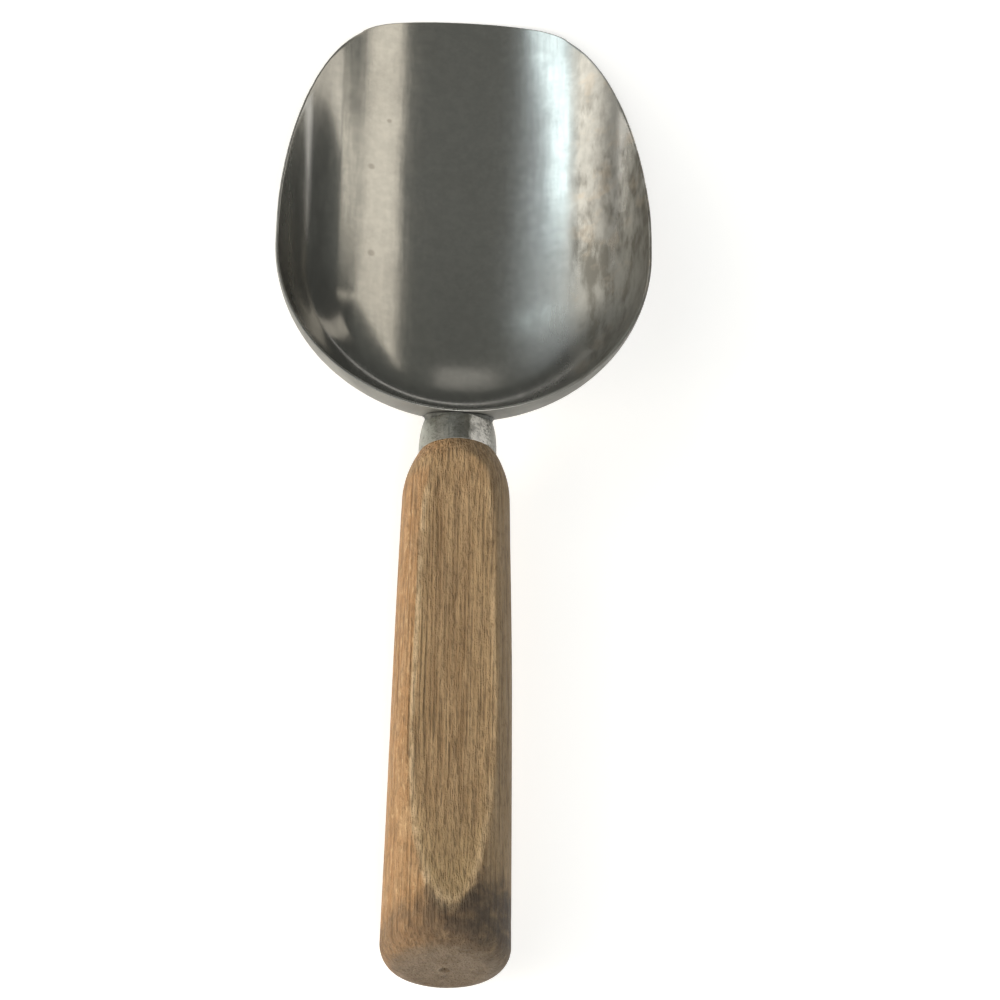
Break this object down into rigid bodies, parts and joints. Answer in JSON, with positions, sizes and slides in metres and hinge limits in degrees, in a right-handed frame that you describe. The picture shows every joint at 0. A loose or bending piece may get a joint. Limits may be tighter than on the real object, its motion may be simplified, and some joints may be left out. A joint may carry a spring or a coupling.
{
  "type": "measuring scoop",
  "caption": "Pressed steel trough scoop that measures dry ingredients, with a bell-shaped ferrule and a turned wooden handle with flats.",
  "frame": {"origin": "centre of the bounding box's bottom face: on the plane that the trough rests on, under the middle of the scoop's length", "axes": "+Y from the butt to the pouring lip, +Z out of the open top of the bowl, +X to the right seen from the butt"},
  "size_m": [0.084, 0.2454, 0.0289],
  "materials": {
    "bowl_steel": "worn, lightly stained sheet steel with a soft sheen",
    "ferrule_steel": "dull mottled steel",
    "handle_wood": "worn satin hardwood with fine straight grain, darker at the butt",
    "tang_steel": "plain drawn steel rod",
    "joint_metal": "dark oxidised braze and weld metal"
  },
  "bodies": {
    "root": {"scoop_bowl": "bowl_steel", "ferrule": "ferrule_steel", "handle": "handle_wood", "tang": "tang_steel", "braze_fillet": "joint_metal", "tang_weld": "joint_metal"}
  },
  "joints": []
}
